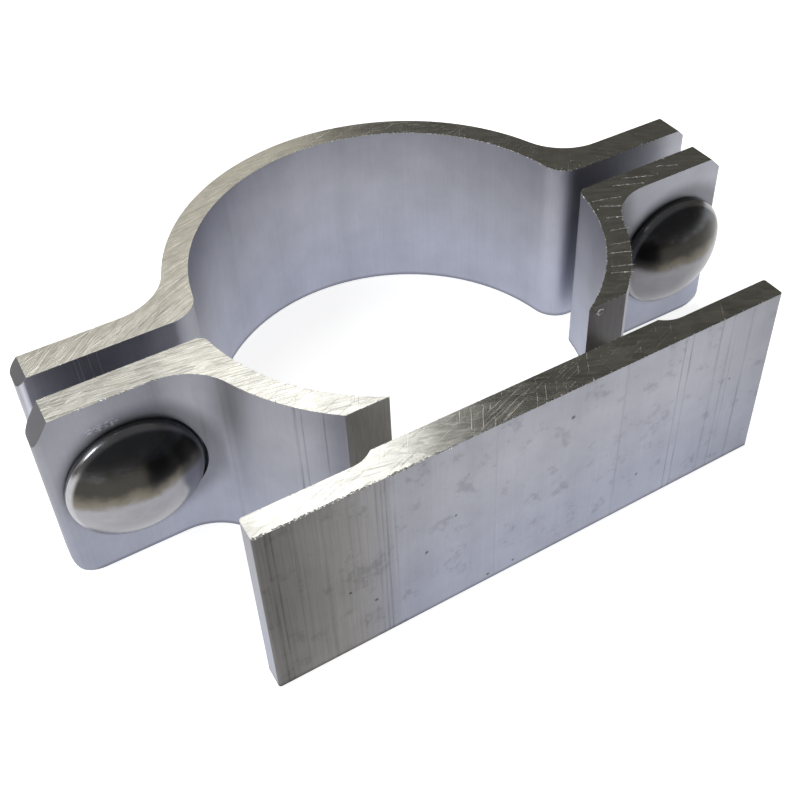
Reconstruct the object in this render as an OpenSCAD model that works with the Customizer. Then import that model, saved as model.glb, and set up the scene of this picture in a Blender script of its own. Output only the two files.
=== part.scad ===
// Two-part clamp bracket that holds a sign rail to a round post.
// The post's axis is the Z axis, the bracket stands on Z = 0 and the rail plate faces -Y.

/* [Post and length] */
// Radius of the post that the bracket grips
post_r = 30; // [26:0.5:45]
// Length of both halves along the post
bracket_h = 30; // [26:0.5:50]

/* [Rear strap] */
// Wall of the strap round the post
strap_t = 3.8; // [3:0.1:5]
// Thickness of the strap's ears
strap_ear_t = 4.7; // [3.5:0.1:6]
// Distance of the strap's ear faces behind the post's axis
strap_setback = 1.2; // [0.6:0.1:3]
// Rounding of the strap's mouth, where its arc turns into the ears
strap_mouth_r = 4.5; // [2:0.5:5]
// Width of each strap ear beyond its bolt's axis
strap_ear_end = 9.8; // [8:0.1:14]

/* [Front half] */
// How much larger the radius of the front half's arc is than the post's
arc_ease = 1; // [0.5:0.1:1.5]
// Wall of the front half's arms
arm_t = 3.5; // [2.8:0.1:4.5]
// Thickness of the front half's ears
front_ear_t = 4.5; // [3.8:0.1:6]
// Distance of the front half's ear faces ahead of its arc's centre
front_setback = 3.9; // [2.5:0.1:5]
// Rounding of the front half's mouth
front_mouth_r = 1.5; // [0.8:0.1:2]
// Width of each front ear beyond its bolt's axis
front_ear_end = 10.2; // [8:0.1:14]

/* [Ears] */
// Rounding of the ears' upright edges
ear_edge_r = 1.2; // [0.4:0.1:1.6]
// Hollow fillet between each ear and the arc's outer skin
ear_fillet_r = 9; // [4:0.5:11]
// Rounding of the ears' lower corners
ear_low_r = 4; // [1:0.1:5]
// Width of the bevel at the front half's upper left corner
front_left_bevel = 2.6; // [1:0.1:4]
// Height of that bevel, which is steeper than the others
front_left_drop = 3.9; // [1:0.1:5]
// Width and height of the bevel at the front half's upper right corner
front_right_bevel = 2.6; // [0.6:0.1:4]
// Width and height of the bevel at the strap's upper left corner
strap_left_bevel = 1.5; // [0.6:0.1:4]
// Width and height of the bevel at the strap's upper right corner
strap_right_bevel = 1.8; // [0.6:0.1:4]
// Gap between the two halves' ears
ear_gap = 4.7; // [3.8:0.1:6]

/* [Rail plate] */
// Length of the plate that slides in the sign's rail
plate_len = 78.6; // [64:0.2:100]
// Thickness of the plate
plate_t = 3.5; // [3:0.1:5]
// Space between the arc's outer skin and the plate's back
plate_gap = 0.1; // [0.1:0.1:1]
// Rounding of the plate's upright edges
plate_edge_r = 0.4; // [0.2:0.1:1]
// Hollow fillet between the arc's outer skin and the plate's back
neck_fillet_r = 4.5; // [3:0.5:6]
// Height of the band that the slots leave on the plate's back
band_t = 1.2; // [0.6:0.1:1.6]
// Width of the slots that take the rail's lips
slot_w = 6.5; // [5:0.1:7]
// Depth of each slot from the top and from the base
slot_d = 10; // [9:0.5:11]

/* [Bolts] */
// Diameter of the bolts' shanks
bolt_d = 8; // [6:0.5:9]
// Length of the bolts under their heads
bolt_len = 25; // [24:0.5:32]
// Distance of each bolt's axis beyond the arc's outer skin
bolt_out = 11.3; // [10.5:0.1:14]
// Diameter of the domed heads
head_d = 19.4; // [16:0.2:20.8]
// Height of the domed heads
head_h = 5.2; // [3.5:0.1:5.8]
// Height of the upright rim below the dome
head_rim = 1; // [0.5:0.1:1.3]
// Width of the square neck under each head
neck_w = 8.2; // [7:0.1:9]
// Length of the square neck
neck_len = 4; // [3:0.1:4.5]
// Bevel at the end of each shank
tip_bevel = 0.8; // [0.4:0.1:1.2]

/* [Nuts and washers] */
// Width of the nuts across their flats
nut_w = 13; // [11:0.5:14]
// Height of the nuts
nut_h = 6.5; // [5:0.1:7]
// Turn of the nuts about their bolts
nut_turn = 12; // [0:1:30]
// Diameter of the washers
washer_d = 16; // [14:0.5:17]
// Thickness of the washers
washer_t = 1.6; // [1:0.1:2]

/* [Fits] */
// Clearance of the square necks in their holes, on each side
neck_clear = 0.15; // [0.1:0.05:0.3]
// Clearance of the shanks in the strap's holes, on each side
hole_clear = 1.1; // [1.05:0.05:1.5]
// Clearance of the shanks in the washers and nuts, on each side
bore_clear = 0.1; // [0.1:0.05:0.3]
// Clearance of heads and washers in their spot-faced seats, on each side
seat_clear = 0.2; // [0.1:0.05:0.4]
// How far the front half has slipped to the left of the strap
slip = 0.8; // [0:0.1:0.8]
// How far both square holes lie to the right of the front half's middle
hole_drift = 1; // [0:0.1:1]

/* [Hidden] */
$fn = 96;
// How far a cutter reaches past a face, and a joined piece into its neighbour
past = 1;
bite = 0.5;

strap_out_r = post_r + strap_t;
front_in_r = post_r + arc_ease;
front_out_r = front_in_r + arm_t;

bolt_x = front_out_r + bolt_out;
strap_reach = bolt_x + strap_ear_end;
front_reach = bolt_x + front_ear_end;
bolt_z = bracket_h / 2;

strap_face_y = strap_setback;
strap_back_y = strap_face_y + strap_ear_t;
front_y = strap_face_y - ear_gap + front_setback;
ear_face_y = -front_setback - front_ear_t;
head_seat_y = front_y + ear_face_y;

plate_back_y = -front_out_r - plate_gap;
plate_front_y = plate_back_y - plate_t;
slot_y = plate_back_y + band_t;

shank_r = bolt_d / 2;
hole_r = shank_r + hole_clear;
bore_r = shank_r + bore_clear;
washer_y = strap_back_y + washer_t;
bolt_shift = hole_drift - slip;

aluminium = [0.66, 0.66, 0.68];
steel = [0.50, 0.49, 0.46];

// Centre of the circle of radius r that touches a straight face at face_y from above
// and, from outside, a ring about the origin
function blend_centre(ring_r, r, face_y) =
    [sqrt(pow(ring_r + r, 2) - pow(face_y + r, 2)), face_y + r];

// Wedge at a straight face at face_y and a ring, which holds the corner that a circle
// of radius r rounds
module mouth_wedge(ring_r, r, face_y) {
    c = blend_centre(ring_r, r, face_y);
    corner_x = sqrt(pow(ring_r, 2) - pow(face_y, 2));
    polygon([c, [c.x, face_y - bite], [corner_x - bite, face_y - bite],
             c * (ring_r - bite) / (ring_r + r)]);
}

// Copies its children to the right and, mirrored, to the left
module both_sides() {
    children();
    mirror([1, 0, 0]) children();
}

// Flat bar along X with rounded corners, from y up
module bar_profile(half, y, thickness, r) {
    translate([r - half, y]) square([2 * (half - r), thickness]);
    translate([-half, y + r]) square([2 * half, thickness - 2 * r]);
    both_sides()
        for (corner_y = [y + r, y + thickness - r])
            translate([half - r, corner_y]) circle(r);
}

// Fills what lies between a ring and a straight face at face_y, out to the hollow
// fillets of radius r that touch both. Its inner corners lie within the ring's wall
module root_profile(ring_r, r, face_y) {
    c = blend_centre(ring_r, r, face_y);
    p = c * (ring_r - bite) / (ring_r + r);
    difference() {
        polygon([[-c.x, face_y - bite], [c.x, face_y - bite], c, p, [-p.x, p.y],
                 [-c.x, c.y]]);
        both_sides() translate(c) circle(r);
    }
}

// Half ring with an ear at each end, whose ear faces lie at setback from its centre
module omega(in_r, wall, setback, ear_t, reach, mouth_r) {
    out_r = in_r + wall;
    difference() {
        union() {
            intersection() {
                circle(out_r);
                translate([-out_r, setback]) square([2 * out_r, out_r]);
            }
            bar_profile(reach, setback, ear_t, ear_edge_r);
            root_profile(out_r, ear_fillet_r, setback + ear_t);
        }
        circle(in_r);
        both_sides()
            difference() {
                mouth_wedge(in_r, mouth_r, setback);
                translate(blend_centre(in_r, mouth_r, setback)) circle(mouth_r);
            }
    }
}

// Outline of the front half, seen along the post, with its root and its plate
module front_profile() {
    mirror([0, 1])
        omega(front_in_r, arm_t, front_setback, front_ear_t, front_reach, front_mouth_r);
    difference() {
        root_profile(front_out_r, neck_fillet_r, plate_back_y);
        circle(front_in_r);
    }
    bar_profile(plate_len / 2, plate_front_y, plate_t, plate_edge_r);
}

// Cutter along Y through a half, from an outline in X and Z
module cut_through() {
    depth = 4 * front_out_r;
    translate([0, depth / 2, 0]) rotate([90, 0, 0]) linear_extrude(depth) children();
}

// What rounds the lower corner of a right-hand ear that ends at reach
module low_rounding(reach, r) {
    cut_through()
        translate([reach - r, r])
            difference() {
                translate([0, -r - past]) square([r + past, r + past]);
                circle(r);
            }
}

// What bevels the upper corner of a right-hand ear that ends at reach
module top_bevel(reach, width, drop) {
    steep = drop / width;
    cut_through()
        translate([reach, bracket_h])
            polygon([[past, -drop - past * steep], [past, past],
                     [-width - past / steep, past]]);
}

// Rounds the lower ear corners of a half
module round_ears(reach) {
    difference() {
        children();
        both_sides() low_rounding(reach, ear_low_r);
    }
}

// Slots across the root that take the rail's upper and lower lips
module lip_slots() {
    for (z = [-past, bracket_h - slot_d])
        translate([-front_out_r, slot_y, z])
            cube([2 * front_out_r, slot_w, slot_d + past]);
}

// Round cutter along Y, from y to the given distance
module bore_y(x, y, r, length) {
    translate([x, y, bolt_z]) rotate([-90, 0, 0]) cylinder(r = r, h = length);
}

// Square hole for a bolt's neck, with the spot-faced seat of its head
module neck_hole(x) {
    w = neck_w + 2 * neck_clear;
    seat_r = head_d / 2 + seat_clear;
    translate([x - w / 2, ear_face_y - past, bolt_z - w / 2])
        cube([w, front_ear_t + 2 * past, w]);
    bore_y(x, ear_face_y - ear_fillet_r, seat_r, ear_fillet_r);
}

// Front half: plate, root, arms and ears in one extrusion, then milled and punched
module front_clamp() {
    color(aluminium)
        translate([-slip, front_y, 0])
            difference() {
                round_ears(front_reach) linear_extrude(bracket_h) front_profile();
                top_bevel(front_reach, front_right_bevel, front_right_bevel);
                mirror([1, 0, 0]) top_bevel(front_reach, front_left_bevel, front_left_drop);
                lip_slots();
                for (side = [-1, 1]) neck_hole(side * bolt_x + hole_drift);
            }
}

// Rear half: strap and ears in one extrusion, with round holes and washer seats
module rear_clamp() {
    seat_r = washer_d / 2 + hole_clear + seat_clear;
    color(aluminium)
        difference() {
            round_ears(strap_reach)
                linear_extrude(bracket_h)
                    omega(post_r, strap_t, strap_setback, strap_ear_t, strap_reach,
                          strap_mouth_r);
            top_bevel(strap_reach, strap_right_bevel, strap_right_bevel);
            mirror([1, 0, 0]) top_bevel(strap_reach, strap_left_bevel, strap_left_bevel);
            both_sides() {
                bore_y(bolt_x, strap_face_y - past, hole_r, strap_ear_t + 2 * past);
                bore_y(bolt_x, strap_back_y, seat_r, ear_fillet_r);
            }
        }
}

// Half of a domed head's section, with its flat underside on the X axis
module head_profile() {
    rise = head_h - head_rim;
    base_r = head_d / 2;
    dome_r = (pow(base_r, 2) + pow(rise, 2)) / (2 * rise);
    square([base_r, head_rim]);
    intersection() {
        translate([0, head_h - dome_r]) circle(dome_r, $fn = 180);
        translate([0, head_rim / 2]) square([base_r, head_h]);
    }
}

// Bolt with a domed head and a square neck, which points along +Z from its seat
module bolt() {
    rotate([180, 0, 0]) rotate_extrude() head_profile();
    translate([-neck_w / 2, -neck_w / 2, 0]) cube([neck_w, neck_w, neck_len]);
    cylinder(r = shank_r, h = bolt_len - tip_bevel);
    translate([0, 0, bolt_len - tip_bevel])
        cylinder(r1 = shank_r, r2 = shank_r - tip_bevel, h = tip_bevel);
}

// Plain washer from Z = 0
module washer() {
    difference() {
        cylinder(d = washer_d, h = washer_t);
        translate([0, 0, -past]) cylinder(r = bore_r, h = washer_t + 2 * past);
    }
}

// Six-sided nut from Z = 0, with its outer corners turned down at both ends
module nut() {
    corner_r = nut_w / 2 / cos(30);
    turned = corner_r - nut_w / 2;
    slope = turned * tan(30);
    difference() {
        intersection() {
            rotate([0, 0, nut_turn]) cylinder(r = corner_r, h = nut_h, $fn = 6);
            union() {
                cylinder(r1 = nut_w / 2, r2 = corner_r, h = slope);
                translate([0, 0, slope]) cylinder(r = corner_r, h = nut_h - 2 * slope);
                translate([0, 0, nut_h - slope])
                    cylinder(r1 = corner_r, r2 = nut_w / 2, h = slope);
            }
        }
        translate([0, 0, -past]) cylinder(r = bore_r, h = nut_h + 2 * past);
    }
}

// Carries a part from the Z axis to the bolt on one side, with its base at y
module on_bolt(side, y) {
    translate([side * bolt_x + bolt_shift, y, bolt_z]) rotate([-90, 0, 0]) children();
}

module bolt_left() { color(steel) on_bolt(-1, head_seat_y) bolt(); }
module bolt_right() { color(steel) on_bolt(1, head_seat_y) bolt(); }
module washer_left() { color(steel) on_bolt(-1, strap_back_y) washer(); }
module washer_right() { color(steel) on_bolt(1, strap_back_y) washer(); }
module nut_left() { color(steel) on_bolt(-1, washer_y) nut(); }
module nut_right() { color(steel) on_bolt(1, washer_y) nut(); }

front_clamp();
rear_clamp();
bolt_left();
bolt_right();
washer_left();
washer_right();
nut_left();
nut_right();
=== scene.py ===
import math
import random
from types import SimpleNamespace

import bmesh
import bpy
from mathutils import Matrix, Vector, noise

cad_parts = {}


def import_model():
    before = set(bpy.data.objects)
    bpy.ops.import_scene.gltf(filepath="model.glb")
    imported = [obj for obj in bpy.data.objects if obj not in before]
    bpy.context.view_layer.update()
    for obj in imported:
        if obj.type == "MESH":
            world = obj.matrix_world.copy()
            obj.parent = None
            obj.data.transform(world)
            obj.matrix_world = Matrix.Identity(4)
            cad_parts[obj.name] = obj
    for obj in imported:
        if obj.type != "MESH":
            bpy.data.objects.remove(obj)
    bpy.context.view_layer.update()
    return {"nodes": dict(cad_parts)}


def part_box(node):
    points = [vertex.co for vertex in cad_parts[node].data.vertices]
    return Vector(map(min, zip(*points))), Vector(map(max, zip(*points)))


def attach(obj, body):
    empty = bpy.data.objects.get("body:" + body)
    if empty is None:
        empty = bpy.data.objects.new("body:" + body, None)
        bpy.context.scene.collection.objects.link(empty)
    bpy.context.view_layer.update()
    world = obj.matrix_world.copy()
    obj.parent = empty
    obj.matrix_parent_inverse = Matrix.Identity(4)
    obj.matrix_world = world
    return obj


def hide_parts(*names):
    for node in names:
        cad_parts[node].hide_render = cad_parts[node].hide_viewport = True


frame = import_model()
MM = 0.001
X, Y, Z = range(3)


# Sizes and places in millimetres, from the frame where it has them

class Box:
    """A CAD node's box, to a hundredth of a millimetre."""

    def __init__(self, node):
        low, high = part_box(node)
        self.low = [round(v / MM, 2) for v in low]
        self.high = [round(v / MM, 2) for v in high]
        self.size = [round(b - a, 2) for a, b in zip(self.low, self.high)]
        self.middle = [round((a + b) / 2, 2) for a, b in zip(self.low, self.high)]


PLATE_Y = Box("front_clamp").low[Y]
TOP = Box("front_clamp").high[Z]
MIDDLE = TOP / 2
BOLT_X = {side: Box(f"bolt_{side}").middle[X] for side in ("left", "right")}

# Fasteners: domed heads, square necks, threads, washers and nuts
HEAD_D, HEAD_H, HEAD_RIM, HEAD_EASE = Box("bolt_left").size[X], 5.2, 1.0, 1.2
SEAT_Y = round(Box("bolt_left").low[Y] + HEAD_H, 2)
NECK_W, NECK_L, NECK_CORNER = 8.2, 4.0, 0.5
BOLT_L = round(Box("bolt_left").high[Y] - SEAT_Y, 2)
THREAD_R, ROOT_R, PITCH, TIP = 3.94, 3.26, 1.25, 0.75
WASHER_D, WASHER_T, WASHER_Y = (Box("washer_left").size[X], Box("washer_left").size[Y],
                                Box("washer_left").low[Y])
NUT_W, NUT_H, NUT_TURN = 13.0, Box("nut_left").size[Y], 12.0
BORE_R = 4.1

# Width of the eased edges on both halves
EASED = 0.12

# Marks on the aluminium: (x, half width, depth)
PLATE_MARKS = ((-38.6, 0.28, 0.7), (-37.9, 0.22, 0.9), (-35.4, 0.2, 0.4), (-31.6, 0.5, 0.25),
               (-24.6, 0.2, 0.55), (-23.9, 0.18, 0.5), (-23.3, 0.18, 0.6), (-22.2, 0.25, 0.3),
               (-7.6, 0.2, 0.25), (12.4, 0.22, 0.3), (21.9, 0.22, 0.6), (23.1, 0.25, 0.7),
               (28.2, 0.3, 0.4), (30.1, 0.24, 0.45), (31.0, 0.2, 0.35), (33.6, 0.35, 0.5))
ARM_MARKS = ((-33.2, 0.25, 0.4), (-27.2, 0.20, 1.0), (-26.6, 0.12, 0.5), (-24.5, 0.14, 0.5),
             (-21.2, 0.16, 0.7), (-20.4, 0.12, 0.5))
STRAP_SCRATCHES = tuple((x, 0.10) for x in (-47.0, -46.4, -45.1, -43.9))

# Pits in the plate's front: (x, z, radius)
PITS = ((4.0, 25.0, 0.42), (-18.0, 12.5, 0.36), (-25.5, 8.0, 0.38), (-8.5, 1.2, 0.34),
        (-4.4, 1.5, 0.3), (-29.0, 12.0, 0.26), (-13.6, 17.0, 0.24), (16.4, 6.6, 0.26),
        (31.5, 17.6, 0.22))

# Chips on the upper edges: (x, size) along the plate's front, then (x, y, size)
PLATE_CHIPS = ((-14.3, 0.42), (-13.8, 0.34), (-11.0, 0.2), (-10.0, 0.22), (-8.6, 0.16),
               (-4.1, 0.2), (1.9, 0.2), (2.9, 0.16), (5.1, 0.18), (6.9, 0.16),
               (9.6, 0.2), (28.4, 0.24), (31.6, 0.18), (-38.9, 0.3), (-36.6, 0.3),
               (-33.0, 0.26), (-29.4, 0.28), (-24.5, 0.3), (-20.8, 0.28), (-17.6, 0.26))
EAR_CHIPS = ((46.4, -3.7, 0.24), (29.6, -9.0, 0.2), (43.0, -6.4, 0.16))
STRAP_CHIPS = ((46.3, 1.4, 0.24), (37.9, 1.5, 0.26), (34.4, 1.9, 0.18), (31.5, 2.8, 0.2),
               (-5.4, 30.1, 0.24), (0.0, 30.2, 0.16), (14.6, 26.5, 0.2), (21.2, 21.5, 0.18))

# Torn ridges across the right arm and ear, from point to point
RIDGES = (((29.9, -6.9), (34.4, -8.2)), ((30.2, -8.5), (32.8, -10.0)),
          ((29.2, -11.3), (31.5, -12.3)), ((27.6, -14.1), (30.4, -14.9)),
          ((25.5, -16.7), (28.4, -17.6)), ((24.5, -18.3), (27.2, -19.5)),
          ((22.6, -20.7), (25.4, -22.0)), ((21.7, -21.8), (24.5, -23.2)),
          ((35.0, -5.2), (39.5, -7.2)), ((37.4, -4.4), (42.0, -6.4)),
          ((44.0, -4.6), (47.0, -6.2)))

# The photograph's camera: pixels, millimetres and degrees
IMAGE, FOCAL, CENTRE = 800, 1124.93, (401.51, 311.41)
SENSOR = 36.0
CAMERA_AT = (-61.459, -114.131, 129.065)
CAMERA_TURN = (49.1321, 1.9534, -30.1369)


# Material graphs

class Graph:
    """A node tree, with short calls for the nodes that the finishes use."""

    def __init__(self, owner, output="ShaderNodeOutputMaterial"):
        owner.use_nodes = True
        self.owner = owner
        self.nodes = owner.node_tree.nodes
        self.links = owner.node_tree.links
        self.nodes.clear()
        self.out = self.nodes.new(output)

    def put(self, socket, value):
        if isinstance(value, bpy.types.NodeSocket):
            self.links.new(value, socket)
        elif isinstance(value, (tuple, list)) and len(value) == 3 and socket.type == "RGBA":
            socket.default_value = (*value, 1)
        else:
            socket.default_value = value

    def math(self, operation, a, b=0.0):
        n = self.nodes.new("ShaderNodeMath")
        n.operation = operation
        self.put(n.inputs[0], a)
        self.put(n.inputs[1], b)
        return n.outputs[0]

    def vec(self, operation, a, b=(0, 0, 0)):
        n = self.nodes.new("ShaderNodeVectorMath")
        n.operation = operation
        self.put(n.inputs[0], a)
        self.put(n.inputs["Scale" if operation == "SCALE" else 1], b)
        return n.outputs["Value" if operation in ("LENGTH", "DISTANCE") else 0]

    def parts(self, vector):
        n = self.nodes.new("ShaderNodeSeparateXYZ")
        self.put(n.inputs[0], vector)
        return n.outputs[0], n.outputs[1], n.outputs[2]

    def combine(self, x, y, z=0.0):
        n = self.nodes.new("ShaderNodeCombineXYZ")
        for i, v in enumerate((x, y, z)):
            self.put(n.inputs[i], v)
        return n.outputs[0]

    def place(self):
        """The point in millimetres, as a vector and as three numbers."""
        tc = self.nodes.new("ShaderNodeTexCoord")
        p = self.vec("SCALE", tc.outputs["Object"], 1 / MM)
        return (p, *self.parts(p))

    def normal(self):
        geo = self.nodes.new("ShaderNodeNewGeometry")
        return self.parts(geo.outputs["Normal"])

    def stretch(self, p, by):
        return self.vec("MULTIPLY", p, by)

    def turned(self, p, degrees, by):
        """The point turned about Z, then scaled along its own axes."""
        n = self.nodes.new("ShaderNodeMapping")
        n.vector_type = "POINT"
        self.put(n.inputs["Vector"], p)
        n.inputs["Rotation"].default_value = (0, 0, math.radians(degrees))
        return self.stretch(n.outputs[0], by)

    def arcs(self, x, y, centre, radius):
        """How far a point is from a centre, and how far round it."""
        dx, dy = self.math("SUBTRACT", x, centre[0]), self.math("SUBTRACT", y, centre[1])
        return self.combine(self.vec("LENGTH", self.combine(dx, dy)),
                            self.times(self.math("ARCTAN2", dy, dx), radius))

    def noise(self, p, scale=1.0, detail=2.0, rough=0.5):
        n = self.nodes.new("ShaderNodeTexNoise")
        self.put(n.inputs["Vector"], p)
        n.inputs["Scale"].default_value = scale
        n.inputs["Detail"].default_value = detail
        n.inputs["Roughness"].default_value = rough
        return n.outputs[0]

    def cells(self, p):
        """One grey for each cell, so that a surface looks torn in patches."""
        n = self.nodes.new("ShaderNodeTexVoronoi")
        self.put(n.inputs["Vector"], p)
        n.inputs["Scale"].default_value = 1.0
        return self.parts(n.outputs["Color"])[0]

    def ramp(self, value, lo, hi, out_lo=0.0, out_hi=1.0, smooth=True):
        n = self.nodes.new("ShaderNodeMapRange")
        n.interpolation_type = "SMOOTHSTEP" if smooth else "LINEAR"
        for i, v in enumerate((value, lo, hi, out_lo, out_hi)):
            self.put(n.inputs[i], v)
        return n.outputs[0]

    def band(self, value, lo, hi, soft):
        """1 between lo and hi, with soft ends."""
        return self.times(self.ramp(value, lo - soft, lo + soft), self.ramp(value, hi + soft, hi - soft))

    def line(self, value, at, width, depth=1.0):
        """Its depth at a line, and 0 at its half width and beyond."""
        away = self.math("ABSOLUTE", self.math("SUBTRACT", value, at))
        return self.ramp(away, width, 0.0, 0.0, depth)

    def lines(self, value, marks):
        """The deepest of several lines."""
        return self.most([self.line(value, *mark) for mark in marks])

    def most(self, values):
        out = values[0]
        for v in values[1:]:
            out = self.math("MAXIMUM", out, v)
        return out

    def mix(self, factor, a, b):
        """Mixes two colours."""
        n = self.nodes.new("ShaderNodeMix")
        n.data_type = "RGBA"
        self.put(n.inputs["Factor"], factor)
        self.put(n.inputs[6], a)
        self.put(n.inputs[7], b)
        return n.outputs[2]

    def blend(self, factor, a, b):
        """Mixes two numbers."""
        n = self.nodes.new("ShaderNodeMix")
        n.data_type = "FLOAT"
        self.put(n.inputs["Factor"], factor)
        self.put(n.inputs[2], a)
        self.put(n.inputs[3], b)
        return n.outputs[0]

    def total(self, *values):
        out = values[0]
        for v in values[1:]:
            out = self.math("ADD", out, v)
        return out

    def times(self, *values):
        out = values[0]
        for v in values[1:]:
            out = self.math("MULTIPLY", out, v)
        return out

    def swing(self, value, amount):
        """A noise about its middle, scaled."""
        return self.times(self.math("SUBTRACT", value, 0.5), amount)

    def metal(self, colour, roughness, height, depth, metallic=1.0):
        """Finishes the material. The height gives a bump of so many millimetres."""
        b = self.nodes.new("ShaderNodeBsdfPrincipled")
        self.put(b.inputs["Base Color"], colour)
        self.put(b.inputs["Roughness"], roughness)
        self.put(b.inputs["Metallic"], metallic)
        bump = self.nodes.new("ShaderNodeBump")
        self.put(bump.inputs["Height"], height)
        bump.inputs["Distance"].default_value = depth * MM
        bump.inputs["Strength"].default_value = 1.0
        self.links.new(bump.outputs[0], b.inputs["Normal"])
        self.links.new(b.outputs[0], self.out.inputs[0])
        return self.owner


def new_graph(name):
    return Graph(bpy.data.materials.new(name))


# Aluminium, as extruded, sawn, milled and handled, with painted light, shade and reflections

SAW_BUMP = 0.016
# Where the saw blades turned, and their radius
FRONT_BLADE = (-62.0, -200.0), 185.0
REAR_BLADE = (-6.5, -42.8), 70.0
# The walls' colour runs from WALL_LOW, bluer, to WALL_HIGH, greyer: a painted reflection.
WALL_LOW, WALL_HIGH = (0.375, 0.392, 0.475), (0.375, 0.380, 0.425)
# Brown of the painted reflection on the plate's left end.
BROWN_REFLECTION = (0.375, 0.365, 0.360)
SAWN_END = (0.50, 0.495, 0.465)
# Milled slot faces: pale on the left as painted light, dark on the right as painted shade.
LEFT_SLOT_PAINTED_LIGHT, RIGHT_SLOT_PAINTED_SHADE = (0.98, 0.94, 0.85), (0.40, 0.38, 0.35)


def surface(g):
    """The shaded point in millimetres, and the way its face looks."""
    s = SimpleNamespace()
    s.p, s.x, s.y, s.z = g.place()
    s.nx, s.ny, s.nz = g.normal()
    return s


def extruded_with_painted_shade(g, s, gain):
    """Faces as they left the die, whose lines run along Z, with painted shade at the foot and towards
    the top, and a painted reflection that makes them bluer low down.
    """
    bands = g.noise(g.stretch(s.p, (1, 1, 0.012)), 0.22, 2)
    lines = g.noise(g.stretch(s.p, (1, 1, 0.02)), 2.6, 3, 0.7)
    fine = g.noise(g.stretch(s.p, (1, 1, 0.035)), 9.0, 2, 0.6)
    cloud = g.noise(s.p, 0.16, 3, 0.6)
    grain = g.noise(s.p, 3.5, 3, 0.65)
    tone = g.total(0.97, g.swing(bands, 0.20), g.swing(lines, 0.16), g.swing(fine, 0.12),
                   g.swing(cloud, 0.30), g.swing(grain, 0.10))
    # Painted shade: darker at the walls' very foot and towards their top.
    painted_base_shade = g.ramp(s.z, 0.2, 0.8, 0.62, 1.0)
    painted_top_shade = g.ramp(s.z, 31.0, 22.0, 0.90, 1.0)
    return SimpleNamespace(
        lines=lines,
        tone=g.times(tone, gain, painted_base_shade, painted_top_shade),
        colour=g.mix(g.ramp(s.z, 3.0, 24.0), WALL_LOW, WALL_HIGH),
        rough=g.total(0.40, g.times(lines, 0.08), g.times(grain, 0.08)),
        height=g.total(g.times(lines, 0.30), g.times(fine, 0.15), g.times(grain, 0.25),
                       g.times(cloud, 0.5)))


def mark_front(g, s, wall):
    """Dark lines along the plate's front and along the left arm."""
    on_arm = g.times(g.band(s.y, -29.0, -12.0, 2.0), g.ramp(s.ny, -0.2, -0.5))
    fade = g.ramp(g.noise(g.stretch(s.p, (1, 1, 0.1)), 0.9, 2), 0.35, 0.6, 0.3, 1.0)
    marks = g.most([g.times(g.lines(s.x, PLATE_MARKS), s.on_plate, fade),
                    g.times(g.lines(s.x, ARM_MARKS), on_arm, fade)])
    wall.tone = g.total(wall.tone, g.times(marks, -0.45))
    wall.height = g.total(wall.height, g.times(marks, -1.2))


def pit_plate(g, s, wall):
    """Small pits and stains in the plate's front."""
    ragged = g.swing(g.noise(s.p, 4.0, 2), 0.4)
    flat = g.stretch(s.p, (1, 0, 1))
    pits = []
    for x, z, r in PITS:
        away = g.total(g.vec("DISTANCE", flat, (x, 0, z)), ragged)
        pits.append(g.ramp(away, r, r * 0.4))
    pits = g.times(g.most(pits), s.on_plate)
    stains = g.times(g.ramp(g.noise(s.p, 0.30, 4, 0.72), 0.54, 0.70), s.on_plate)
    wall.tone = g.total(wall.tone, g.times(pits, -0.62), g.times(stains, -0.20))
    wall.height = g.total(wall.height, g.times(pits, -2.4))


def paint_plate_reflection_and_streaks(g, s, wall):
    """The plate's left end is painted darker and browner as a painted reflection, which ends at a die
    line; its right end is painted darker too, its lower left lighter, and the left ear's outer end is
    darker.
    """
    # Painted reflection: dark at the left end, darker at the right end, lighter low down on the left.
    painted_dark_end = g.ramp(s.x, -38.0, -24.0, 0.36, 0.78, False)
    rest = g.times(g.ramp(s.x, -22.0, -12.0, 0.90, 1.04), g.ramp(s.x, 40.0, 24.0, 0.76, 1.0))
    shade = g.blend(g.ramp(s.x, -23.2, -22.2), painted_dark_end, rest)
    painted_paler_base = g.times(g.ramp(s.z, 16.0, 0.0), g.ramp(s.x, -20.0, -36.0), 0.14)
    shade = g.blend(s.on_plate, 1.0, g.total(shade, painted_paler_base))
    streaks = g.times(s.on_plate, g.ramp(s.x, -19.0, -28.0), g.swing(wall.lines, 0.55))
    ear_end = g.ramp(s.x, -56.0, -46.0, 0.86, 1.0)
    wall.tone = g.times(g.total(wall.tone, streaks), shade, ear_end)
    brown = g.times(s.on_plate, g.ramp(s.x, -20.0, -30.0))
    wall.colour = g.mix(brown, wall.colour, BROWN_REFLECTION)


def shade_and_scuff_ears(g, s, wall):
    """Painted shadow round the bolt heads, offset up and to the right, and a scuff above the left one.
    """
    on_ears = g.ramp(s.y, -12.0, -11.0)
    flat = g.stretch(s.p, (1, 0, 1))
    right, up = 1.2, 0.8
    for x in BOLT_X.values():
        away = g.vec("DISTANCE", flat, (x + right, 0, MIDDLE + up))
        # Painted shadow: a dark ring just outside each head on the ears' faces.
        ring = g.times(g.ramp(away, 12.4, 9.6), g.ramp(s.ny, -0.3, -0.6), on_ears)
        wall.tone = g.times(wall.tone, g.math("SUBTRACT", 1.0, g.times(ring, 0.42)))
    torn = g.ramp(g.noise(g.stretch(s.p, (1.6, 1, 4.0)), 1.0, 3, 0.7), 0.47, 0.56)
    scuff = g.times(torn, g.band(s.x, -50.0, -46.0, 0.5), g.band(s.z, 25.2, 26.3, 0.3),
                    g.ramp(s.ny, -0.8, -0.95), on_ears)
    wall.tone = g.total(wall.tone, g.times(scuff, 0.8))
    wall.height = g.total(wall.height, g.times(scuff, 1.5))


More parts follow.
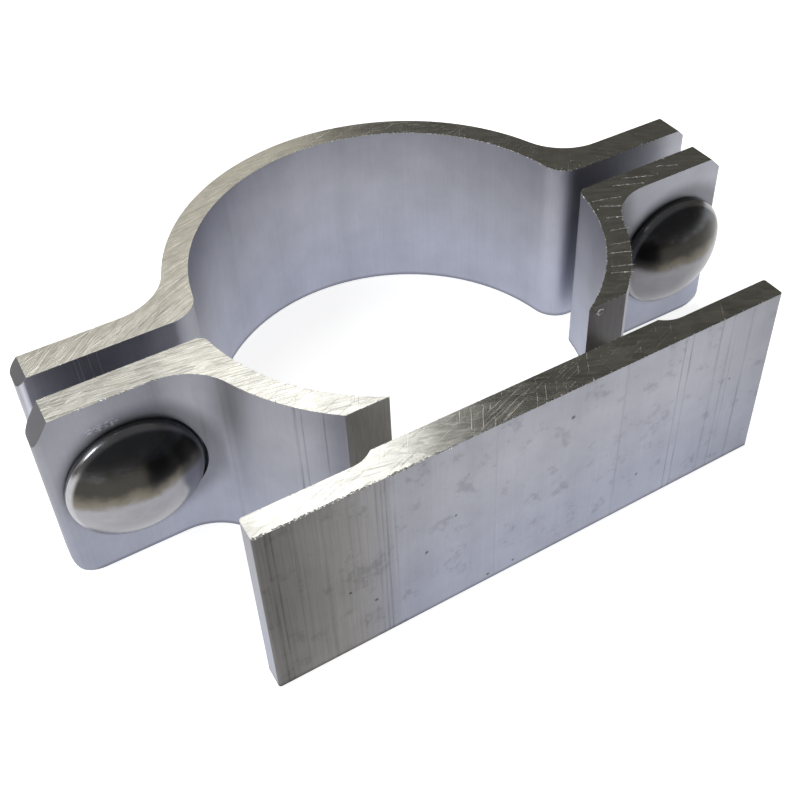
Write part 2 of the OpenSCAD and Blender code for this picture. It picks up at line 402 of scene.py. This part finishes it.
def strap_scratches_and_painted_light(g, s, wall):
    """Pale scratches on the strap's left ear, where it faces the front half, and painted light that
    makes that face half as bright again.
    """
    slanted = g.total(s.x, g.times(s.z, 0.03))
    scratches = g.times(g.lines(slanted, STRAP_SCRATCHES), g.ramp(s.z, 20.0, 25.0),
                        g.ramp(s.ny, -0.5, -0.9))
    wall.tone = g.total(wall.tone, g.times(scratches, 0.6))
    # Painted light: the left ear's face towards the front half is made half as bright again.
    painted_light_face = g.times(g.ramp(s.x, -33.0, -37.0), g.ramp(s.ny, -0.6, -0.9))
    wall.tone = g.times(wall.tone, g.total(1.0, g.times(painted_light_face, 0.5)))


def shade_bevels(g, s, wall):
    """The ears' cut corners are darker than the faces beside them."""
    bevel = g.times(g.band(s.nz, 0.3, 0.78, 0.03), g.ramp(g.math("ABSOLUTE", s.nx), 0.45, 0.55))
    wall.tone = g.times(wall.tone, g.math("SUBTRACT", 1.0, g.times(bevel, 0.5)))


def sawn(g, s, centre, radius, base, fine_swing, patch_swing):
    """Sawn ends: the blade left arcs about a centre, and scratches cross them."""
    arcs = g.arcs(s.x, s.y, centre, radius)
    saw = g.noise(g.stretch(arcs, (1.5, 0.07, 0)), 1.0, 3, 0.7)
    fine = g.noise(g.stretch(arcs, (6.0, 0.22, 0)), 1.0, 2, 0.75)
    torn = g.noise(g.stretch(arcs, (2.2, 0.6, 0)), 1.0, 2, 0.7)
    patch = g.cells(g.stretch(arcs, (1.5, 0.42, 0)))
    deep = g.ramp(saw, 0.40, 0.30)
    flat_cross = g.ramp(g.noise(g.turned(s.p, -20, (0.09, 3.4, 0.3)), 1.0, 3, 0.6), 0.60, 0.70)
    steep_cross = g.ramp(g.noise(g.turned(s.p, -58, (0.12, 4.1, 0.3)), 1.3, 2, 0.6), 0.66, 0.76)
    blot = g.noise(s.p, 0.30, 3, 0.65)
    return SimpleNamespace(
        tone=g.total(base, g.swing(saw, 0.34), g.swing(fine, fine_swing), g.swing(blot, 0.30),
                     g.swing(patch, patch_swing), g.times(deep, -0.25),
                     g.times(flat_cross, 0.16), g.times(steep_cross, 0.12)),
        rough=g.total(0.08, g.times(fine, 0.08), g.times(blot, 0.08)),
        height=g.total(g.times(saw, 1.3), g.times(fine, 0.45), g.times(torn, 0.35),
                       g.times(flat_cross, -0.40), g.times(steep_cross, -0.25),
                       g.times(patch, 0.22)))


def meet(g, s, wall, end):
    """The wall's finish on upright faces, and the end's on the sawn ones."""
    is_end = g.ramp(g.math("ABSOLUTE", s.nz), 0.78, 0.86)
    tone = g.math("MAXIMUM", g.blend(is_end, wall.tone, end.tone), 0.06)
    return SimpleNamespace(
        colour=g.vec("SCALE", g.mix(is_end, wall.colour, SAWN_END), tone),
        rough=g.blend(is_end, wall.rough, end.rough),
        height=g.blend(is_end, wall.height, end.height),
        metallic=1.0)


def mill_slots(g, s, look):
    """The slots behind the plate were milled; the left one is painted pale as painted light, and the
    right one dark as painted shade.
    """
    off_middle = g.math("ABSOLUTE", g.math("SUBTRACT", s.z, MIDDLE))
    milled = g.times(g.band(s.y, -33.9, -25.0, 0.2), g.ramp(s.ny, -0.8, -0.95),
                     g.ramp(off_middle, 4.6, 5.0))
    streak = g.noise(g.stretch(s.p, (3.0, 1, 0.25)), 1.0, 3, 0.6)
    # Painted light on the left slot's face and painted shade on the right one's, with milling streaks.
    cut = g.mix(g.ramp(s.x, -4.0, 4.0), LEFT_SLOT_PAINTED_LIGHT, RIGHT_SLOT_PAINTED_SHADE)
    cut = g.vec("SCALE", cut, g.total(1.0, g.swing(streak, 0.5)))
    look.colour = g.mix(milled, look.colour, cut)
    look.rough = g.blend(milled, look.rough, 0.42)
    look.metallic = g.blend(milled, look.metallic, 0.85)


def front_aluminium():
    g = new_graph("front_aluminium")
    s = surface(g)
    s.on_plate = g.ramp(s.y, PLATE_Y + 0.4, PLATE_Y + 0.2)
    wall = extruded_with_painted_shade(g, s, 1.0)
    for change in (mark_front, pit_plate, paint_plate_reflection_and_streaks, shade_and_scuff_ears, shade_bevels):
        change(g, s, wall)
    end = sawn(g, s, *FRONT_BLADE, base=0.92, fine_swing=0.40, patch_swing=0.26)
    end.tone = g.times(end.tone, g.ramp(s.x, -34.0, -41.0, 1.0, 0.73))
    look = meet(g, s, wall, end)
    mill_slots(g, s, look)
    return g.metal(look.colour, look.rough, look.height, SAW_BUMP, look.metallic)


def rear_aluminium():
    g = new_graph("rear_aluminium")
    s = surface(g)
    wall = extruded_with_painted_shade(g, s, 1.12)
    strap_scratches_and_painted_light(g, s, wall)
    shade_bevels(g, s, wall)
    end = sawn(g, s, *REAR_BLADE, base=0.95, fine_swing=0.28, patch_swing=0.12)
    end.tone = g.times(end.tone, g.ramp(s.x, -30.0, -38.0, 1.0, 0.90))
    look = meet(g, s, wall, end)
    return g.metal(look.colour, look.rough, look.height, SAW_BUMP)


def fresh_burr():
    """Torn metal that is still bright."""
    g = new_graph("fresh_burr")
    p = g.place()[0]
    tone = g.ramp(g.noise(p, 2.2, 3), 0.3, 0.7, 0.8, 1.0)
    colour = g.vec("SCALE", (0.96, 0.96, 0.95), tone)
    return g.metal(colour, g.ramp(g.noise(p, 5.0, 2), 0.3, 0.7, 0.32, 0.5), g.noise(p, 6.0, 2), 0.02)


# Steel

def polished_steel():
    """The domes, with painted reflections: pale below, brown and then dark above, with a paler rim; the
    right dome is painted darker as painted shade.
    """
    g = new_graph("polished_stainless_steel")
    p, x, y, z = g.place()
    cloud = g.noise(p, 0.30, 4, 0.6)
    grain = g.noise(p, 2.4, 3, 0.6)
    streak = g.noise(g.turned(p, 20, (0.4, 3.0, 1.0)), 1.0, 3, 0.6)
    colour = g.mix(cloud, (0.315, 0.31, 0.325), (0.30, 0.30, 0.33))
    height = g.total(z, g.swing(cloud, 3.0))
    # Painted reflections: brown, dark and grey bands by height on each dome.
    for low, high, shade in ((14.8, 16.4, (0.17, 0.155, 0.125)),
                             (16.2, 18.0, (0.055, 0.052, 0.046)),
                             (19.6, 21.2, (0.125, 0.13, 0.14))):
        colour = g.mix(g.ramp(height, low, high), colour, shade)
    centre = g.blend(g.ramp(x, -1.0, 1.0), BOLT_X["left"], BOLT_X["right"])
    away = g.vec("DISTANCE", g.combine(x, 0.0, z), g.combine(centre, 0.0, MIDDLE))
    # Painted reflection: a paler ring at each dome's rim.
    colour = g.mix(g.ramp(away, 8.8, 9.3), colour, (0.44, 0.44, 0.46))
    tone = g.total(0.95, g.swing(cloud, 0.40), g.swing(streak, 0.14))
    # Painted shade: the right dome is darker.
    tone = g.times(tone, g.ramp(x, 10.0, 20.0, 1.0, 0.72))
    rough = g.total(0.15, g.times(cloud, 0.12), g.times(grain, 0.06))
    return g.metal(g.vec("SCALE", colour, tone), rough,
                   g.total(g.times(grain, 0.5), g.times(streak, 0.3), cloud), 0.010)


def turned_steel():
    """Shanks, nuts and washers, with the lathe's rings."""
    g = new_graph("turned_stainless_steel")
    p = g.place()[0]
    cloud = g.noise(p, 0.5, 4, 0.6)
    rings = g.noise(g.stretch(p, (0.3, 5.0, 0.3)), 1.4, 3, 0.6)
    tone = g.total(0.92, g.swing(cloud, 0.20), g.swing(rings, 0.22))
    colour = g.vec("SCALE", g.mix(cloud, (0.53, 0.52, 0.50), (0.49, 0.49, 0.50)), tone)
    rough = g.total(0.20, g.times(rings, 0.12), g.times(cloud, 0.06))
    return g.metal(colour, rough, g.total(rings, g.times(cloud, 0.4)), 0.008)


# Shapes

def piece(name, verts, faces, material, smooth, slot):
    mesh = bpy.data.meshes.new(name)
    mesh.from_pydata([tuple(v) for v in verts], [], faces)
    mesh.validate()
    mesh.materials.append(material)
    mesh.polygons.foreach_set("use_smooth", [smooth] * len(mesh.polygons))
    obj = bpy.data.objects.new(name, mesh)
    bpy.context.scene.collection.objects.link(obj)
    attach(obj, "root")
    return obj


def eased_copy(node, material):
    """The CAD node's own mesh with its sharp edges eased."""
    bm = bmesh.new()
    bm.from_mesh(frame["nodes"][node].data)
    bmesh.ops.remove_doubles(bm, verts=bm.verts, dist=1e-7)
    bmesh.ops.dissolve_limit(bm, angle_limit=math.radians(0.5), verts=bm.verts,
                             edges=bm.edges)
    bmesh.ops.recalc_face_normals(bm, faces=bm.faces)
    mesh = bpy.data.meshes.new(node + "_dressed")
    bm.to_mesh(mesh)
    bm.free()
    mesh.materials.clear()
    mesh.materials.append(material)
    mesh.polygons.foreach_set("use_smooth", [True] * len(mesh.polygons))
    obj = bpy.data.objects.new(node + "_dressed", mesh)
    bpy.context.scene.collection.objects.link(obj)
    bevel = obj.modifiers.new("eased", "BEVEL")
    bevel.width = EASED * MM
    bevel.segments = 2
    bevel.limit_method = "ANGLE"
    bevel.angle_limit = math.radians(35)
    bevel.use_clamp_overlap = True
    flat = obj.modifiers.new("flat_faces", "WEIGHTED_NORMAL")
    flat.mode = "FACE_AREA"
    flat.weight = 90
    flat.keep_sharp = True
    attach(obj, "root")
    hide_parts(node)


def ring_points(radii, along):
    """Points round Z at one height, one for each radius."""
    turns = len(radii)
    points = []
    for i, r in enumerate(radii):
        a = 2 * math.pi * i / turns
        points.append(Vector((r * math.cos(a), r * math.sin(a), along)))
    return points


def tube_faces(rings, turns):
    """Faces between rings of points that follow one another."""
    faces = []
    for j in range(rings - 1):
        for i in range(turns):
            k = (i + 1) % turns
            faces.append((j * turns + i, j * turns + k, (j + 1) * turns + k, (j + 1) * turns + i))
    return faces


def revolve(profile, turns):
    """Points and faces of a profile [(radius, along)] turned about Z."""
    verts = []
    for r, along in profile:
        verts += ring_points([r] * turns, along)
    return verts, tube_faces(len(profile), turns)


def join(*parts):
    verts, faces = [], []
    for v, f in parts:
        base = len(verts)
        verts += v
        faces += [tuple(i + base for i in face) for face in f]
    return verts, faces


def head_mesh():
    """Domed head from its flat underside at 0 to its top at -HEAD_H."""
    r = HEAD_D / 2
    rise = HEAD_H - HEAD_RIM
    dome_r = (r * r + rise * rise) / (2 * rise)
    edge, edge_cut, edge_top = 0.30, 0.09, 0.28
    profile = [(NECK_W / 2 * 0.9, 0.0), (r - edge, 0.0), (r - edge_cut, -edge_cut), (r, -edge_top)]
    start = math.asin((r - HEAD_EASE) / (dome_r - HEAD_EASE))
    shoulder = HEAD_H - dome_r + math.sqrt((dome_r - HEAD_EASE) ** 2 - (r - HEAD_EASE) ** 2)
    steps = 12
    for i in range(steps + 1):
        a = i / steps * (math.pi / 2 - start)
        profile.append((r - HEAD_EASE + HEAD_EASE * math.cos(a), -shoulder - HEAD_EASE * math.sin(a)))
    steps, apex = 28, 0.001
    for i in range(1, steps + 1):
        a = start * (1 - i / steps)
        along = HEAD_H - dome_r + dome_r * math.cos(a)
        profile.append((max(dome_r * math.sin(a), apex), -along))
    return revolve(profile, 128)


def neck_mesh():
    """Square neck with rounded corners, from the head's underside along +Z."""
    w = NECK_W / 2 - NECK_CORNER
    outline = []
    for sx, sy in ((1, 1), (-1, 1), (-1, -1), (1, -1)):
        for i in range(4):
            a = math.atan2(sy, sx) - math.pi / 4 + math.pi / 2 * i / 3
            outline.append((w * sx + NECK_CORNER * math.cos(a), w * sy + NECK_CORNER * math.sin(a)))
    verts = []
    for along, scale in ((0.0, 1.0), (NECK_L - 0.4, 1.0), (NECK_L, 0.93)):
        verts += [Vector((x * scale, y * scale, along)) for x, y in outline]
    n = len(outline)
    return verts, tube_faces(3, n) + [tuple(range(2 * n, 3 * n))]


def thread_mesh():
    """Thread from the neck to the shank's bevelled tip."""
    turns, steps = 56, 12
    root_flat, flank = 0.12, 0.72
    rows = int((BOLT_L - NECK_L) / PITCH * steps)
    verts = []
    for j in range(rows + 1):
        along = NECK_L + (BOLT_L - NECK_L) * j / rows
        radii = []
        for i in range(turns):
            off_root = abs((along / PITCH - i / turns) % 1.0 - 0.5) * 2
            rise = min(max((off_root - root_flat) / flank, 0.0), 1.0)
            r = THREAD_R - (THREAD_R - ROOT_R) * (1 - rise)
            radii.append(min(r, THREAD_R - TIP + (BOLT_L - along)))
        verts += ring_points(radii, along)
    return verts, tube_faces(rows + 1, turns) + [tuple(rows * turns + i for i in range(turns))]


def nut_mesh():
    """Six-sided nut from 0, with turned-down corners and a countersunk bore."""
    turns, sink = 120, 0.55
    slope = math.tan(math.radians(30))

    def flats(i):
        """How far the plain hexagon reaches at one of the points."""
        a = 2 * math.pi * i / turns - math.radians(NUT_TURN)
        return NUT_W / 2 / math.cos(a % (math.pi / 3) - math.pi / 6)

    near = [0.0, 0.12, 0.3, 0.55, 0.8, 1.2]
    chamfer = 0.25
    rings = []
    for along in near + [NUT_H - v for v in reversed(near)]:
        limit = NUT_W / 2 - chamfer + min(along, NUT_H - along) / slope
        rings.append(([min(flats(i), limit) for i in range(turns)], along))
    for r, along in ((BORE_R + sink, NUT_H), (BORE_R, NUT_H - 0.6), (BORE_R, 0.6), (BORE_R + sink, 0.0)):
        rings.append(([r] * turns, along))
    rings.append(rings[0])
    verts = []
    for radii, along in rings:
        verts += ring_points(radii, along)
    return verts, tube_faces(len(rings), turns)


def washer_mesh():
    e, t, r = 0.18, WASHER_T, WASHER_D / 2
    return revolve([(BORE_R + e, 0), (r - e, 0), (r - 0.05, e * 0.4), (r, e), (r, t - e),
                    (r - 0.05, t - e * 0.4), (r - e, t), (BORE_R + e, t), (BORE_R, t - e),
                    (BORE_R, e), (BORE_R + e, 0)], 96)


def on_bolt(part, x, y):
    """Turns a mesh about Z to one about the bolt's axis, which points along +Y."""
    verts, faces = part
    return [Vector((v.x + x, v.z + y, -v.y + MIDDLE)) * MM for v in verts], faces


# Burrs and swarf

def rim(node, level):
    """A CAD node's edges at a height, in millimetres, with the outward side of each."""
    bm = bmesh.new()
    bm.from_mesh(frame["nodes"][node].data)
    bmesh.ops.remove_doubles(bm, verts=bm.verts, dist=1e-7)
    edges = []
    for e in bm.edges:
        if len(e.link_faces) != 2 or any(abs(v.co.z - level * MM) > 1e-5 for v in e.verts):
            continue
        f = sorted(e.link_faces, key=lambda face: abs(face.normal.z))
        if abs(f[0].normal.z) < 0.5 and abs(f[1].normal.z) > 0.9:
            a, b = (v.co / MM for v in e.verts)
            edges.append((a.copy(), b.copy(), f[0].normal.copy()))
    bm.free()
    edges.sort(key=lambda e: (round(e[0].x, 3), round(e[0].y, 3), round(e[1].x, 3)))
    return edges


def lump(rng, centre, along, out, long, wide, high):
    """A small uneven eight-sided crumb."""
    up = Vector((0, 0, 1))
    verts = []
    for axis, size in ((along, long), (out, wide), (up, high)):
        for sign in (1, -1):
            drift = Vector([rng.uniform(-0.22, 0.22) * min(long, wide) for _ in range(3)])
            verts.append(centre + axis * size * sign * rng.uniform(0.7, 1.0) + drift)
    faces = [(0, 2, 4), (2, 1, 4), (1, 3, 4), (3, 0, 4), (2, 0, 5), (1, 2, 5), (3, 1, 5), (0, 3, 5)]
    if along.cross(out).z < 0:
        faces = [tuple(reversed(f)) for f in faces]
    return verts, faces


def burr_piece(name, parts, material):
    verts, faces = join(*parts)
    piece(name, [v * MM for v in verts], faces, material, False, "aluminium")


def crumbs(name, node, rule, material, seed):
    """Torn crumbs along a sawn rim. rule(point, side) gives crumbs per millimetre and a size.

    A long straight edge asks the rule at each step, and a short one once, at its middle.
    """
    rng = random.Random(seed)
    step, long_edge = 0.5, 2
    parts = []
    for a, b, out in rim(node, TOP):
        length = (b - a).length
        along = (b - a).normalized() if length > 1e-6 else Vector((1, 0, 0))
        steps = max(int(length / step), 1)
        for i in range(steps):
            p = a.lerp(b, (i + 0.5) / steps)
            density, size = rule(p if length >= long_edge else (a + b) / 2, out)
            patch = noise.noise(p * 0.7 + Vector((seed, 0, 0))) + 0.5
            count = density * length / steps * min(max(patch * 1.6, 0.0), 1.6)
            count = int(count) + (rng.random() < count % 1)
            for _ in range(count):
                s = size * rng.uniform(0.45, 1.0)
                c = a.lerp(b, (i + rng.random()) / steps)
                c = c - out * s * rng.uniform(0.15, 0.6) + Vector((0, 0, -s * 0.2))
                parts.append(lump(rng, c, along, out, s * rng.uniform(0.9, 2.2), s * 0.8, s * 0.6))
    burr_piece(name, parts, material)


def chips(name, spots, material, seed):
    """Single larger chips at set places [(x, y, size)]."""
    rng = random.Random(seed)
    parts = []
    for x, y, s in spots:
        for _ in range(3):
            c = Vector((x + rng.uniform(-0.4, 0.4) * s, y, TOP - 0.02 - s * 0.2))
            turn = rng.uniform(0, math.pi)
            along = Vector((math.cos(turn), math.sin(turn), 0))
            out = Vector((-math.sin(turn), math.cos(turn), 0))
            parts.append(lump(rng, c, along, out, s, s * 0.7, s * 0.6))
    burr_piece(name, parts, material)


def ridges(name, lines, material, seed):
    """Thin torn ridges that lie on a sawn end."""
    rng = random.Random(seed)
    parts = []
    for start, end in lines:
        a, b = Vector((*start, TOP - 0.01)), Vector((*end, TOP - 0.01))
        along = (b - a).normalized()
        out = Vector((-along.y, along.x, 0))
        t = 0.0
        while t < 1.0:
            s = rng.uniform(0.25, 0.7)
            t += s * rng.uniform(0.5, 1.2) / (b - a).length
            c = a.lerp(b, min(t, 1.0)) + out * rng.uniform(-0.05, 0.05)
            parts.append(lump(rng, c, along, out, s, rng.uniform(0.09, 0.18), 0.09))
    burr_piece(name, parts, material)


def curl(name, centre, radius, wire, material):
    """A curled thread of swarf that still hangs on the edge."""
    steps, sides = 26, 7
    first, sweep = 0.4, 5.3
    verts = []
    for i in range(steps + 1):
        a = first + sweep * i / steps
        w = wire * (0.35 + 0.65 * math.sin(math.pi * min((i + 1) / (steps + 1), 0.97)))
        ring = Vector((math.cos(a), -0.25 * math.sin(a) - 0.12 * i / steps, math.sin(a)))
        out = Vector((math.cos(a), 0, math.sin(a)))
        for s in range(sides):
            b = 2 * math.pi * s / sides
            verts.append(Vector(centre) + ring * radius + (out * math.cos(b)
                         + Vector((0, 1, 0)) * math.sin(b)) * w)
    ends = [tuple(reversed(range(sides))), tuple(steps * sides + s for s in range(sides))]
    faces = tube_faces(steps + 1, sides) + ends
    piece(name, [v * MM for v in verts], faces, material, True, "aluminium")


def front_rule(p, side):
    """The plate's front edge and the left ear's front edge are the most torn."""
    on_plate = p.y < PLATE_Y + 4.7
    plate_front = p.y < PLATE_Y + 0.7 and side.y < -0.5
    left_ear_front = p.x < -39.0 and side.y < -0.2
    if plate_front:
        return (5.0, 0.34) if p.x < -13.0 else (1.8, 0.15)
    if on_plate:
        return 1.0, 0.12
    if left_ear_front:
        return 4.2, 0.26
    if p.x < 0:
        return 2.4, 0.17
    if side.x < -0.2:
        return 3.0, 0.17
    return 1.4, 0.13


def rear_rule(p, side):
    """The strap's inner edge is the most torn, except on its left side."""
    inner = p.length < 45 and side.x * p.x + side.y * p.y < 0
    if inner and p.x > -9:
        return 3.2, 0.16
    if side.y < -0.5:
        return 1.8, 0.14
    return 1.0, 0.11


# The object

def halves():
    eased_copy("front_clamp", front_aluminium())
    eased_copy("rear_clamp", rear_aluminium())


def fasteners():
    polished, turned = polished_steel(), turned_steel()
    for side, x in BOLT_X.items():
        head = piece(f"bolt_{side}_head", *on_bolt(head_mesh(), x, SEAT_Y), polished, True,
                     "bolt_steel")
        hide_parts(f"bolt_{side}")
        shank = join(neck_mesh(), thread_mesh())
        piece(f"bolt_{side}_shank", *on_bolt(shank, x, SEAT_Y), turned, False, "bolt_steel")
        for name, part, y in (("washer", washer_mesh(), WASHER_Y),
                              ("nut", nut_mesh(), WASHER_Y + WASHER_T)):
            dressed = piece(f"{name}_{side}_dressed", *on_bolt(part, x, y), turned, False,
                            "bolt_steel")
            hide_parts(f"{name}_{side}")


def burrs():
    """What the saw left along the upper edges."""
    bright = fresh_burr()
    crumbs("burrs_front_top", "front_clamp", front_rule, bright, seed=3)
    crumbs("burrs_rear_top", "rear_clamp", rear_rule, bright, seed=4)
    on_plate = tuple((x, PLATE_Y + 0.15, size) for x, size in PLATE_CHIPS)
    chips("chips_front", on_plate + EAR_CHIPS, bright, seed=8)
    chips("chips_rear", STRAP_CHIPS, bright, seed=9)
    ridges("ridges_right", RIDGES, bright, seed=10)
    curl("curl_right", (16.2, -26.9, TOP - 0.9), radius=0.50, wire=0.13, material=bright)


# Floor, lamp, world and camera

def floor():
    """A pale floor that the camera and the metal see as bright, and that keeps the shadow."""
    mesh = bpy.data.meshes.new("floor")
    half = 6.0
    mesh.from_pydata([(-half, -half, 0), (half, -half, 0), (half, half, 0), (-half, half, 0)], [],
                     [(0, 1, 2, 3)])
    obj = bpy.data.objects.new("floor", mesh)
    bpy.context.scene.collection.objects.link(obj)
    g = new_graph("pale_floor")
    path = g.nodes.new("ShaderNodeLightPath")
    seen = g.most([path.outputs[f"Is {kind} Ray"] for kind in ("Camera", "Glossy", "Transmission")])
    tc = g.nodes.new("ShaderNodeTexCoord")
    grain = g.noise(tc.outputs["Object"], 40.0, 3)
    diffuse = g.nodes.new("ShaderNodeBsdfDiffuse")
    g.put(diffuse.inputs["Color"], g.mix(grain, (0.80, 0.80, 0.81), (0.84, 0.84, 0.85)))
    glow = g.nodes.new("ShaderNodeEmission")
    g.put(glow.inputs["Color"], (1, 1, 1))
    g.put(glow.inputs["Strength"], g.math("MULTIPLY", seen, 0.84))
    add = g.nodes.new("ShaderNodeAddShader")
    g.links.new(diffuse.outputs[0], add.inputs[0])
    g.links.new(glow.outputs[0], add.inputs[1])
    g.links.new(add.outputs[0], g.out.inputs[0])
    mesh.materials.append(g.owner)


def lamp(name, azimuth, elevation, distance, size, strength, colour):
    """Soft panel that faces the object. Azimuth 0 is behind it (+Y), 90 to its right."""
    data = bpy.data.lights.new(name, "AREA")
    data.shape = "RECTANGLE"
    data.size, data.size_y = size
    data.energy = strength * size[0] * size[1] * math.pi
    data.color = colour
    obj = bpy.data.objects.new(name, data)
    a, e = math.radians(azimuth), math.radians(elevation)
    obj.location = Vector((math.sin(a) * math.cos(e), math.cos(a) * math.cos(e), math.sin(e))) * distance
    obj.rotation_euler = obj.location.to_track_quat("Z", "Y").to_euler()
    bpy.context.scene.collection.objects.link(obj)


def world():
    """A dim room, with a soft pale panel high up behind and a tan wall under it."""
    w = bpy.data.worlds.new("dim_room")
    bpy.context.scene.world = w
    g = Graph(w, "ShaderNodeOutputWorld")
    tc = g.nodes.new("ShaderNodeTexCoord")
    dx, dy, dz = g.parts(tc.outputs["Generated"])
    azimuth = g.times(g.math("ARCTAN2", dx, dy), 180 / math.pi)
    elevation = g.times(g.math("ARCSINE", dz), 180 / math.pi)
    colour = g.mix(g.ramp(elevation, 0.0, 22.0), (0.15, 0.13, 0.10), (0.11, 0.11, 0.11))
    right_side = g.times(g.band(azimuth, 10.0, 120.0, 10.0), g.band(elevation, 12.0, 70.0, 6.0))
    colour = g.mix(right_side, colour, (0.125, 0.122, 0.108))
    right_edge = g.total(23.2, g.times(g.ramp(elevation, 30.0, 48.0, 0.0, 1.0, False), 6.5))
    behind = g.ramp(g.math("SUBTRACT", azimuth, right_edge), 2.0, -2.0)
    behind = g.times(behind, g.ramp(azimuth, -95.0, -75.0))
    wall = g.times(behind, g.band(elevation, 10.0, 50.0, 3.0))
    colour = g.mix(wall, colour, (0.84, 0.80, 0.70))
    tilted = g.total(elevation, g.times(azimuth, 0.08))
    panel = g.times(behind, g.ramp(azimuth, -50.0, -40.0), g.band(tilted, 44.3, 78.0, 1.6))
    colour = g.mix(panel, colour, (3.0, 3.0, 2.97))
    back = g.nodes.new("ShaderNodeBackground")
    g.put(back.inputs["Color"], colour)
    back.inputs["Strength"].default_value = 1.0
    g.links.new(back.outputs[0], g.out.inputs[0])


def camera():
    data = bpy.data.cameras.new("camera")
    data.sensor_width = SENSOR
    data.lens = FOCAL * SENSOR / IMAGE
    data.shift_x = (IMAGE / 2 - CENTRE[0]) / IMAGE
    data.shift_y = (CENTRE[1] - IMAGE / 2) / IMAGE
    data.clip_start = 0.005
    data.clip_end = 50.0
    obj = bpy.data.objects.new("camera", data)
    obj.location = Vector(CAMERA_AT) * MM
    obj.rotation_euler = [math.radians(v) for v in CAMERA_TURN]
    bpy.context.scene.collection.objects.link(obj)
    bpy.context.scene.camera = obj


halves()
fasteners()
burrs()
floor()
lamp("left_window", azimuth=-105, elevation=40, distance=1.0, size=(0.20, 0.30), strength=8.0,
     colour=(0.97, 0.98, 1.0))
world()
camera()
bpy.context.scene.view_settings.view_transform = "Standard"
